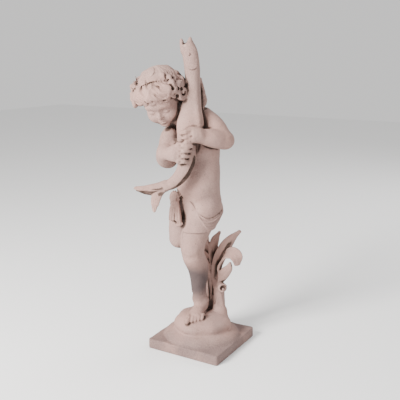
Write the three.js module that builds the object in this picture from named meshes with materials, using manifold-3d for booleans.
// A cast garden figure: a curly-haired child stands on one leg on a rocky mound and
// hugs an upright fish. Cloth is knotted on the hip, water plants climb behind the leg,
// and a square plinth carries it all. Everything is one casting, so it is one solid.
//
// Millimetres, +Z up. The origin is the centre of the plinth's underside.
// The child faces -Y, and its left side is towards +X.

import * as THREE from "three";
import { mergeVertices } from "three/addons/utils/BufferGeometryUtils.js";
import Module from "manifold-3d";

const wasm = await Module();
wasm.setup();

// ---- driving sizes ----

const PLINTH = 209; // square, over its rounded corners
const PLINTH_HEIGHT = 27;
const SOLE = 88; // height of the standing sole, on top of the mound
const CLOTH = 3; // how far the cloth stands off the body

const vec = (x, y, z) => new THREE.Vector3(x, y, z);

// joints of the body, from the ground up
const ANKLE_L = vec(-6, -4, 140);
const KNEE_L = vec(-8, -30, 264);
const HIP_L = vec(14, -8, 384);
const ANKLE_R = vec(-42, 74, 268);
const KNEE_R = vec(-49, -28, 295);
const HIP_R = vec(-44, -6, 378);
const NECK = vec(-34, -24, 590);
const SHOULDER_L = vec(30, -20, 600);
const ELBOW_L = vec(75, -24, 553);
const WRIST_L = vec(30, -88, 573);
const SHOULDER_R = vec(-72, -26, 566);
const ELBOW_R = vec(-68, -58, 504);
const WRIST_R = vec(-44, -104, 524);

// the head: its centre, and where its face and its crown point
const HEAD = vec(-66, -81, 654);
const FACING = vec(0.287, -0.788, -0.545).normalize();
const CROWN = vec(-0.01, -0.57, 0.82).projectOnPlane(FACING).normalize();
const CHEEK = vec(0, 0, 0).crossVectors(CROWN, FACING);

// the hands meet on the fish, which the eye of a viewer in front of its belly sees broadside
const BROADSIDE = vec(0.863, 0.505, 0);
const INWARD = vec(-0.505, 0.863, 0);

// ---- solids ----

/** A closed geometry as a manifold-3d solid: shared points merged, empty faces dropped. */
function solid(geometry) {
  const bare = geometry.index ? geometry.toNonIndexed() : geometry.clone();
  for (const name of Object.keys(bare.attributes)) {
    if (name !== "position") bare.deleteAttribute(name);
  }
  const merged = mergeVertices(bare, 1e-3);
  const corners = merged.index.array;
  const kept = [];
  for (let i = 0; i < corners.length; i += 3) {
    const [a, b, c] = [corners[i], corners[i + 1], corners[i + 2]];
    if (a !== b && b !== c && c !== a) kept.push(a, b, c);
  }
  return new wasm.Manifold(
    new wasm.Mesh({
      numProp: 3,
      vertProperties: new Float32Array(merged.attributes.position.array),
      triVerts: new Uint32Array(kept),
    }),
  );
}

/** Joins a list of solids into one. */
function join(parts) {
  return parts.reduce((whole, part) => whole.add(part));
}

/** An ellipsoid of three half-sizes; axes turn it, and are given as side, front and up. */
function ball(centre, radii, { axes, sides = 8 } = {}) {
  const sphere = new THREE.SphereGeometry(1, sides, Math.max(4, Math.round(sides * 0.6)));
  sphere.rotateX(Math.PI / 2);
  sphere.scale(...radii);
  if (axes) sphere.applyMatrix4(new THREE.Matrix4().makeBasis(...axes));
  sphere.translate(centre.x, centre.y, centre.z);
  return solid(sphere);
}

/**
 * A limb, lock, leaf or fold: oval sections along a smooth curve, closed at both ends.
 * A station is x, y, z, half width and half depth, where the depth may be a pair, front and
 * back. The width lies along `side`, or along three more numbers of the station. `cup` bends
 * every section into a trough, `cleft` parts the back of the sections into two lobes, `grow`
 * thickens everything, and `cap` is the length of the ends.
 */
function loft(stations, { sides = 8, steps = 1, side = [1, 0, 0], cup = 0, cleft = 0, grow = 0, cap } = {}) {
  const curve = (pick) => new THREE.CatmullRomCurve3(stations.map(pick), false, "catmullrom", 0.5);
  const centres = curve((s) => vec(s[0], s[1], s[2]));
  const sizes = curve((s) => vec(s[3] + grow, [s[4] ?? s[3]].flat()[0] + grow, 0));
  const backs = curve((s) => vec([s[4] ?? s[3]].flat().at(-1) + grow, 0, 0));
  const sideways = curve((s) => vec(...(s.length > 5 ? s.slice(5) : side)));
  const count = (stations.length - 1) * steps;
  const rings = [];
  for (let i = 0; i <= count; i++) {
    const t = i / count;
    const along = centres.getTangent(t);
    const wide = sideways.getPoint(t).projectOnPlane(along).normalize();
    rings.push({
      at: centres.getPoint(t),
      along,
      wide,
      deep: vec(0, 0, 0).crossVectors(along, wide),
      a: Math.max(0.4, sizes.getPoint(t).x),
      front: Math.max(0.4, sizes.getPoint(t).y),
      back: Math.max(0.4, backs.getPoint(t).x),
    });
  }
  // a round end is one smaller ring and a tip; thin forms have the tip alone
  const end = (ring, sign) => {
    const reach = cap ?? Math.min(ring.a, ring.front, ring.back);
    const smaller = { ...ring, at: ring.at.clone().addScaledVector(ring.along, sign * reach * 0.7) };
    for (const size of ["a", "front", "back"]) smaller[size] *= 0.7;
    return [smaller, ring.at.clone().addScaledVector(ring.along, sign * reach * (sides > 6 ? 1 : 0.6))];
  };
  const [firstRing, firstTip] = end(rings[0], -1);
  const [lastRing, lastTip] = end(rings[count], 1);
  if (sides > 6) {
    rings.unshift(firstRing);
    rings.push(lastRing);
  }

  const points = [];
  for (const ring of rings) {
    for (let k = 0; k < sides; k++) {
      const turn = (2 * Math.PI * k) / sides;
      const across = ring.a * Math.cos(turn);
      const rise = Math.sin(turn);
      const lobes = rise > 0 ? cleft * (Math.abs(Math.sin(2 * turn)) - 0.6 * rise) : 0;
      const through = (rise > 0 ? ring.back : ring.front) * rise + lobes + cup * across * across;
      points.push(ring.at.clone().addScaledVector(ring.wide, across).addScaledVector(ring.deep, through));
    }
  }
  const bend = (ring) => cup * ring.a * ring.a * 0.3;
  const foot = points.push(firstTip.addScaledVector(firstRing.deep, bend(firstRing))) - 1;
  const top = points.push(lastTip.addScaledVector(lastRing.deep, bend(lastRing))) - 1;
  const faces = [];
  const id = (i, k) => i * sides + (k % sides);
  for (let k = 0; k < sides; k++) {
    faces.push(foot, id(0, k + 1), id(0, k));
    faces.push(top, id(rings.length - 1, k), id(rings.length - 1, k + 1));
    for (let i = 0; i + 1 < rings.length; i++) {
      faces.push(id(i, k), id(i, k + 1), id(i + 1, k + 1));
      faces.push(id(i, k), id(i + 1, k + 1), id(i + 1, k));
    }
  }
  const geometry = new THREE.BufferGeometry().setFromPoints(points);
  geometry.setIndex(faces);
  return solid(geometry);
}

/** Stations from one joint to the next: rows of fraction, half width, half depth and a shift. */
function along(from, to, rows) {
  return rows.map(([t, a, b, dx = 0, dy = 0, dz = 0]) => {
    const p = from.clone().lerp(to, t);
    return [p.x + dx, p.y + dy, p.z + dz, a, b];
  });
}

/** A point given in the head's own axes: towards its left cheek, its face and its crown. */
function onHead(x, y, z) {
  return HEAD.clone().addScaledVector(CHEEK, x).addScaledVector(FACING, y).addScaledVector(CROWN, z);
}
const headAxes = [CHEEK.clone().negate(), FACING, CROWN];

/** A point in the viewer's axes of the fish: across, away from the viewer, and height. */
function onFish(u, w, z) {
  return vec(0, 0, z).addScaledVector(BROADSIDE, u).addScaledVector(INWARD, w);
}

// ---- plinth and mound ----

function plinth() {
  const corner = 7;
  const edge = 2;
  const h = PLINTH / 2 - edge;
  const outline = new THREE.Shape();
  outline.moveTo(-h + corner, -h);
  for (const [x, y, start] of [[h, -h, -0.5], [h, h, 0], [-h, h, 0.5], [-h, -h, 1]]) {
    const cx = x - Math.sign(x) * corner;
    const cy = y - Math.sign(y) * corner;
    outline.absarc(cx, cy, corner, start * Math.PI, (start + 0.5) * Math.PI, false);
  }
  const slab = new THREE.ExtrudeGeometry(outline, {
    depth: PLINTH_HEIGHT - 2 * edge,
    curveSegments: 2,
    bevelThickness: edge,
    bevelSize: edge,
    bevelSegments: 1,
  });
  slab.translate(0, 0, edge);
  return solid(slab);
}

function mound() {
  // radius and height, from under the plinth's top over a low disc, a ledge and a domed rock
  const profile = [
    [0, 14], [97, 14], [98, 32], [88, 39], [84, 45], [73, 49],
    [75, 61], [72, 69], [62, 78], [38, 86], [0, 89],
  ].map(([r, z]) => new THREE.Vector2(r, z));
  const rock = new THREE.LatheGeometry(profile, 20);
  rock.rotateX(Math.PI / 2);
  const p = rock.attributes.position;
  for (let i = 0; i < p.count; i++) {
    const x = p.getX(i);
    const y = p.getY(i);
    const turn = Math.atan2(y, x);
    const free = THREE.MathUtils.smoothstep(p.getZ(i), 36, 52);
    const lobes = 1 + free * (0.035 * Math.sin(3 * turn + 0.7) + 0.022 * Math.sin(7 * turn));
    p.setXY(i, x * lobes, y * lobes);
  }
  return join([solid(rock), ball(vec(-22, -26, SOLE - 2), [22, 27, 18])]);
}

// ---- legs ----

/** A foot from its heel to the ball of the foot, with five toes that bend along `drop`. */
function foot(heel, forefoot, spread, drop, size) {
  const ahead = forefoot.clone().sub(heel).normalize();
  const parts = [
    loft(
      along(heel, forefoot, [
        [0, 14 * size, 15 * size],
        [0.35, 16 * size, 17 * size],
        [0.75, 18 * size, 11 * size],
        [1, 18 * size, 8 * size],
      ]),
      { side: spread.toArray() },
    ),
  ];
  for (let toe = 0; toe < 5; toe++) {
    const girth = (toe === 0 ? 6.2 : 4.6 - 0.2 * toe) * size;
    const length = (toe === 0 ? 21 : 20 - 2.4 * toe) * size;
    const root = forefoot
      .clone()
      .addScaledVector(spread, (toe === 0 ? -12.5 : 7.2 * toe - 9) * size)
      .addScaledVector(ahead, -3 * toe * size);
    const tip = root.clone().addScaledVector(ahead, length).addScaledVector(drop, 9 * size);
    const knuckle = root.clone().lerp(tip, 0.55).addScaledVector(drop, -2 * size);
    parts.push(
      loft(
        [root, knuckle, tip].map((p) => [...p.toArray(), girth, girth]),
        { sides: 4, side: spread.toArray() },
      ),
    );
  }
  return join(parts);
}

function standingLeg() {
  const thigh = along(HIP_L, KNEE_L, [
    [0, 42, 42],
    [0.28, 40, 41, -4],
    [0.55, 36, 37, -8, -1],
    [0.82, 31, 32, -6],
    [1, 28, [34, 28], 0, -1],
  ]);
  const shin = along(KNEE_L, ANKLE_L, [
    [0.16, 26, 27, 1, 2],
    [0.38, 27, 29, 4, 9],
    [0.6, 23.5, 25, 3, 8],
    [0.8, 19.5, 21, 0, 4],
    [1, 18.5, 19.5],
    [1.3, 17, 20, 0, 2],
  ]);
  return join([
    loft([...thigh, ...shin], { side: [1, 0.1, 0], sides: 10 }),
    foot(vec(-6, 13, SOLE + 15), vec(6, -48, SOLE + 6), vec(0.98, 0.2, 0), vec(0, 0, -1), 1),
  ]);
}

function bentLeg() {
  const thigh = along(HIP_R, KNEE_R, [
    [0, 38, 40],
    [0.42, 34, 36, -1, -3],
    [0.8, 30, 32, -1, -4],
    [1.05, 25, 26, 0, -3],
  ]);
  const shin = along(KNEE_R, ANKLE_R, [
    [-0.05, 22, 25],
    [0.3, 23, 25],
    [0.6, 22, 23],
    [1, 16, 17],
  ]);
  return join([
    loft(thigh, { sides: 10 }),
    loft(shin),
    foot(ANKLE_R.clone().add(vec(-1, 8, 0)), vec(-37, 82, 216), vec(-1, -0.1, 0), vec(0, 1, 0), 0.92),
  ]);
}

// ---- trunk ----

// from the seat up to the neck; a depth pair is belly and back
const SEAT = [
  [-4, -5, 372, 54, [42, 53]],
  [-6, -5, 396, 57, [46, 55]],
  [-5, -8, 420, 57, [50, 47]],
];
const BACK = [
  [-3, -11, 443, 57, [52, 40]],
  [-1, -14, 470, 57, [46, 40]],
  [-3, -14, 500, 57, [40, 41]],
  [-6, -14, 535, 60, [40, 41]],
  [-18, -18, 567, 56, [36, 36]],
  [-30, -22, 588, 34, [28, 28]],
];

function trunk() {
  return join([
    loft([...SEAT, ...BACK], { sides: 12, cleft: 9 }),
    ball(SHOULDER_L.clone().add(vec(-3, 2, -4)), [28, 27, 25]),
    ball(SHOULDER_R.clone().add(vec(4, 2, -2)), [26, 27, 25]),
    loft(
      [
        [NECK.x, NECK.y, NECK.z - 8, 28, 27],
        [-50, -38, 612, 24, 24],
        [-68, -52, 634, 24, 25],
      ],
      { sides: 9 },
    ),
  ]);
}

// ---- arms and hands ----

/** A finger that bends over the fish: knuckle, middle and tip in the fish's own axes. */
function finger(points, girth) {
  return loft(
    points.map(([u, w, z], i) => [...onFish(u, w, z).toArray(), girth * (1 - 0.07 * i), girth * (1 - 0.07 * i)]),
    { sides: 5, side: [0, 0, 1] },
  );
}

function leftArm() {
  const parts = [
    loft(along(SHOULDER_L, ELBOW_L, [[-0.3, 20, 22], [0.1, 26, 27], [0.5, 26, 28], [1, 22, 23]]), {
      sides: 8,
      side: [0, 1, 0],
    }),
    loft(
      along(ELBOW_L, WRIST_L, [
        [-0.05, 22, 22],
        [0.35, 22, 23, 3, -3],
        [0.8, 18, 18, 1, -2],
        [1.05, 16, 16],
      ]),
      { side: [0, 0, 1] },
    ),
    loft([[...onFish(-14, -99, 575).toArray(), 18, 13], [...onFish(-32, -105, 571).toArray(), 19, 10]], {
      sides: 8,
      side: [0.1, 0.1, 1],
    }),
  ];
  // four fingers fan down over the front of the fish, and the thumb goes behind it
  for (let i = 0; i < 4; i++) {
    const z = 584 - 11.5 * i;
    parts.push(finger([[-30 + i, -107, z], [-42 + 2 * i, -110, z - 2], [-51 + 5 * i, -105, z - 5]], 6.4 - 0.3 * i));
  }
  parts.push(finger([[-8, -82, 590], [-4, -66, 600], [-10, -56, 608]], 7));
  return join(parts);
}

function rightArm() {
  const parts = [
    loft(along(SHOULDER_R, ELBOW_R, [[-0.25, 18, 20, 12], [0.12, 25, 26], [0.5, 26, 26, -4], [1, 22, 22]]), {
      sides: 8,
    }),
    loft(
      along(ELBOW_R, WRIST_R, [
        [-0.06, 22, 22, 0, 4, -8],
        [0.35, 24, 25, -1, -2, -4],
        [0.8, 21, 20, -2],
        [1.1, 19, 17, -2, 2],
      ]),
      { side: [0, 0, 1] },
    ),
    loft([[...onFish(-72, -92, 530).toArray(), 18, 13], [...onFish(-58, -102, 531).toArray(), 22, 10]], {
      sides: 8,
      side: [0.2, 0, 1],
    }),
  ];
  // four stacked fingers reach round the fish, and the thumb goes behind it
  for (let i = 0; i < 4; i++) {
    const z = 551 - 13 * i;
    parts.push(finger([[-56, -104, z], [-42, -108 + i, z], [-29 - i * i * 0.5, -99 + 2 * i, z - 1]], 6.8 - 0.4 * i));
  }
  parts.push(finger([[-72, -84, 536], [-64, -68, 544], [-54, -58, 550]], 7));
  return join(parts);
}

// ---- head ----

function face() {
  // plain proportions of a small child: eyes below the middle, short nose, full cheeks
  const eyeLine = -6;
  const eyeOut = 17;
  let skin = join([
    ball(onHead(0, -8, 12), [49, 55, 52], { axes: headAxes, sides: 10 }),
    ball(onHead(0, 8, -18), [41, 40, 42], { axes: headAxes, sides: 10 }),
    ball(onHead(0, 34, -47), [13, 12, 11], { axes: headAxes, sides: 7 }),
    ball(onHead(-23, 28, -26), [17, 16, 17], { axes: headAxes, sides: 7 }),
    ball(onHead(23, 28, -26), [17, 16, 17], { axes: headAxes, sides: 7 }),
  ]);
  for (const s of [-1, 1]) {
    skin = skin.subtract(ball(onHead(s * eyeOut, 52, eyeLine), [11, 8, 7.5], { axes: headAxes, sides: 6 }));
  }
  const parts = [skin];
  for (const s of [-1, 1]) {
    parts.push(ball(onHead(s * eyeOut, 40, eyeLine - 0.5), [8.5, 7, 6], { axes: headAxes, sides: 6 }));
  }
  parts.push(
    loft([[...onHead(0, 44, -2).toArray(), 4, 4], [...onHead(0, 52, -17).toArray(), 7, 5]], {
      sides: 6,
      side: CHEEK.toArray(),
    }),
    ball(onHead(0, 46, -31), [10.5, 5, 3], { axes: headAxes, sides: 5 }),
    ball(onHead(0, 45, -36), [8.5, 5, 3], { axes: headAxes, sides: 6 }),
  );
  return join(parts);
}

/** One curl: a short thick lock that leaves the scalp and turns in on itself. */
function curl(turn, height, reach, size, hand) {
  const out = CHEEK.clone().multiplyScalar(Math.sin(turn)).addScaledVector(FACING, Math.cos(turn));
  const sideways = vec(0, 0, 0).crossVectors(CROWN, out).multiplyScalar(hand);
  const centre = onHead(reach * Math.sin(turn) * 1.08, reach * Math.cos(turn) - 8, height);
  const stations = [];
  for (let i = 0; i < 4; i++) {
    const a = -0.6 + i * 1.4;
    const r = size * (1.05 - 0.2 * i);
    const p = centre
      .clone()
      .addScaledVector(sideways, r * Math.cos(a))
      .addScaledVector(CROWN, -r * Math.sin(a))
      .addScaledVector(out, 1.6 * i - 3);
    const girth = size * [0.6, 0.78, 0.7, 0.48][i];
    stations.push([...p.toArray(), girth, girth, ...out.toArray()]);
  }
  return loft(stations, { sides: 4 });
}

function hair() {
  const parts = [
    ball(onHead(0, -14, 25), [57, 58, 53], { axes: headAxes, sides: 14 }),
  ];
  // rows of curls from the fringe down to the nape, open where the face is
  const rows = [
    { height: 30, rise: 12, reach: 56, count: 7, size: 16, open: 0 },
    { height: 12, rise: 17, reach: 62, count: 9, size: 16, open: 0 },
    { height: -6, rise: 8, reach: 62, count: 8, size: 16, open: 1.1 },
    { height: -25, rise: 0, reach: 53, count: 6, size: 15, open: 1.6 },
  ];
  rows.forEach((row, r) => {
    for (let i = 0; i < row.count; i++) {
      const turn = (2 * Math.PI * (i + 0.5 * (r % 2))) / row.count - Math.PI;
      if (Math.abs(turn) < row.open) continue;
      const height = row.height + row.rise * Math.cos(turn);
      parts.push(curl(turn, height, row.reach, row.size, (i + r) % 2 ? 1 : -1));
    }
  });
  // the band that holds the crown's hair down
  const band = new THREE.TorusGeometry(52, 3, 4, 16);
  band.scale(1.02, 1.05, 1);
  band.applyMatrix4(new THREE.Matrix4().makeBasis(...headAxes));
  const at = onHead(0, -14, 47);
  band.translate(at.x, at.y, at.z);
  parts.push(solid(band));
  return join(parts);
}

// ---- fish ----

function fish() {
  const flank = [0.9, 0.35, 0];
  const body = loft(
    [
      [-10, -55, 785, 15, 10],
      [-5, -52, 768, 19, 13],
      [-1, -50, 745, 19, 15],
      [2, -50, 716, 18.5, 15.5],
      [4, -52, 685, 18.5, 16.5],
      [6, -63, 632, 26, 19],
      [9, -73, 594, 32.5, 21],
      [9, -82, 552, 28, 20],
      [8, -91, 512, 20, 16],
      [-4, -101, 482, 15, 12],
      [-20, -112, 461, 12, 9],
      [-38, -123, 448, 10, 7],
    ],
    { side: flank, sides: 9, cap: 3 },
  );
  const jaw = (low, high, girth) =>
    loft([[...onFish(...low).toArray(), girth, girth], [...onFish(...high).toArray(), 4, 4]], { sides: 6, side: flank });
  const gill = [];
  for (let i = 0; i <= 4; i++) {
    const a = Math.PI * (1.12 + 0.19 * i);
    gill.push([...onFish(-23.5 + 13 * Math.cos(a), -59 + Math.abs(i - 2), 716 + 11 * Math.sin(a)).toArray(), 2.2]);
  }
  const fin = loft(
    [
      [...onFish(-6, -38, 700).toArray(), 5, 3],
      [...onFish(0, -38, 668).toArray(), 9, 3],
      [...onFish(3, -38, 648).toArray(), 9, 3],
      [...onFish(0, -40, 634).toArray(), 4, 3],
    ],
    { sides: 6, side: flank, cap: 3 },
  );
  const lobe = (points, side) => loft(points, { sides: 6, side, cap: 3 });
  return join([
    body,
    jaw([-45, -42, 772], [-50, -42, 793], 7),
    jaw([-29, -42, 774], [-29, -42, 797.6], 9),
    loft(gill, { sides: 4, side: [0, 0, 1] }),
    fin,
    // the tail fin's two lobes, one level and one hanging
    lobe(
      [
        [-34, -121, 450, 11, 6],
        [-56, -134, 441, 15, 4],
        [-82, -148, 443, 9, 3],
        [-104, -160, 449, 4, 2],
      ],
      [0.2, 0.5, 0.8],
    ),
    lobe(
      [
        [-34, -121, 448, 10, 6],
        [-50, -130, 428, 13, 4],
        [-57, -131, 404, 10, 3],
        [-60, -130, 384, 4, 2],
      ],
      [0.9, 0.3, -0.3],
    ),
  ]);
}

// ---- cloth ----

function cloth() {
  // a skirt round hips and standing thigh; its top edge falls from the knot to the left hip
  const skirt = loft([[1, -13, 320, 34, 38], [2, -10, 346, 42, [40, 48]], ...SEAT, BACK[0]], {
    sides: 12,
    cleft: 6,
    grow: CLOTH,
    cap: 4,
  });
  const above = new THREE.BoxGeometry(320, 320, 120);
  above.translate(0, 0, 60);
  above.rotateX(0.16);
  above.rotateY(0.42);
  above.translate(-6, -40, 398);
  const parts = [skirt.subtract(solid(above))];
  // folds that hang in the cloth round the left hip
  const knot = vec(-41, -56, 408);
  for (let i = 0; i < 3; i++) {
    const sag = 10 + 14 * i;
    parts.push(
      loft(
        [
          [18, -50, 380 - sag, 3],
          [40, -27, 366 - sag, 4],
          [47, 6, 366 - sag * 0.8, 4],
          [38, 40, 374 - sag * 0.5, 3],
        ],
        { sides: 5, side: [0, 0, 1] },
      ),
    );
  }
  // the knot, its gathers fanned upwards, and its two hanging ends
  parts.push(ball(knot, [13, 11, 11], { sides: 7 }));
  for (let i = 0; i < 3; i++) {
    const fan = -0.8 + 0.7 * i;
    const tip = knot.clone().add(vec(15 * Math.sin(fan), 0, 15 * Math.cos(fan)));
    parts.push(loft([[knot.x, knot.y - 7, knot.z, 4], [tip.x, tip.y, tip.z, 4]], { sides: 5 }));
  }
  for (const [sway, drop] of [[-6, 58], [10, 70]]) {
    parts.push(
      loft(
        [
          [knot.x + 0.4 * sway, knot.y - 5, knot.z - 6, 6, 6],
          [knot.x + sway, knot.y - 7, knot.z - 0.5 * drop, 9, 6],
          [knot.x + 1.2 * sway, knot.y - 5, knot.z - drop, 12, 7],
        ],
        { sides: 6, cup: 0.02 },
      ),
    );
  }
  return join(parts);
}

// ---- water plant ----

function plant() {
  const leaf = (points, { side = [0.6, 0.6, 0.3], cup = 0.012, thick = 3.4, steps = 1 } = {}) =>
    loft(
      points.map(([x, y, z, a], i) => [x, y, z, a, i === 0 ? 5 : thick]),
      { sides: 6, steps, side, cup, cap: 3 },
    );
  const stalk = (points, girth) => loft(points.map((p) => [...p, girth, girth]), { sides: 5 });
  const bud = ball(vec(41, 36, 152), [13, 12, 13], { sides: 8 });
  const coil = [];
  for (let i = 0; i < 7; i++) {
    const a = 0.6 + i * 0.95;
    const r = 11.5 - 1.5 * i;
    coil.push([...onFish(54 + r * Math.cos(a), 4 - 0.9 * i, 153 + r * Math.sin(a)).toArray(), 3.2, 3.2]);
  }
  return join([
    // the stump and the tall sheath of stems that props the raised foot
    loft([[22, 44, 82, 26, 22], [22, 44, 112, 20, 18], [18, 44, 150, 16, 15], [8, 46, 200, 15, 13], [-8, 56, 236, 13, 12]], {
      sides: 9,
    }),
    loft([[-20, 58, 82, 20, 16], [-24, 62, 140, 14, 12], [-34, 74, 196, 15, 10]], { sides: 8 }),
    ball(vec(34, 44, 90), [20, 18, 14]),
    // leaves: a broad one, a small one behind it, a drooping one and a low one
    leaf([[14, 42, 170, 6], [24, 46, 215, 11], [44, 52, 262, 15], [74, 66, 303, 6]]),
    leaf([[8, 44, 210, 5], [8, 50, 262, 8], [20, 54, 292, 9], [30, 56, 308, 3]], { side: [0.8, 0.5, 0.3] }),
    leaf([[26, 38, 178, 5], [38, 38, 222, 7], [56, 40, 250, 11], [76, 44, 248, 14], [80, 44, 222, 8]], {
      side: [0.3, 0.5, 0.8],
      steps: 2,
    }),
    leaf([[28, 36, 160, 6], [44, 38, 190, 13], [56, 40, 210, 9], [52, 40, 226, 3]], { side: [0.8, 0.4, -0.3] }),
    bud,
    loft(coil, { sides: 5 }),
    stalk([[4, 30, 88], [6, 34, 160], [6, 36, 240], [12, 34, 276]], 4),
    stalk([[14, 32, 88], [16, 36, 150], [18, 38, 225]], 4),
  ]);
}

// ---- the casting ----

const casting = join([
  plinth(),
  mound(),
  standingLeg(),
  bentLeg(),
  trunk(),
  cloth(),
  leftArm(),
  rightArm(),
  face(),
  hair(),
  fish(),
  plant(),
]);

const stone = new THREE.MeshStandardMaterial({ color: 0xb09a90, roughness: 0.93, metalness: 0 });
stone.name = "stone";

const cast = casting.getMesh();
const geometry = new THREE.BufferGeometry();
geometry.setAttribute("position", new THREE.BufferAttribute(new Float32Array(cast.vertProperties), 3));
geometry.setIndex(new THREE.BufferAttribute(new Uint32Array(cast.triVerts), 1));
geometry.computeVertexNormals();

const statue = new THREE.Mesh(geometry, stone);
statue.name = "statue";

const group = new THREE.Group();
group.add(statue);

export default group;
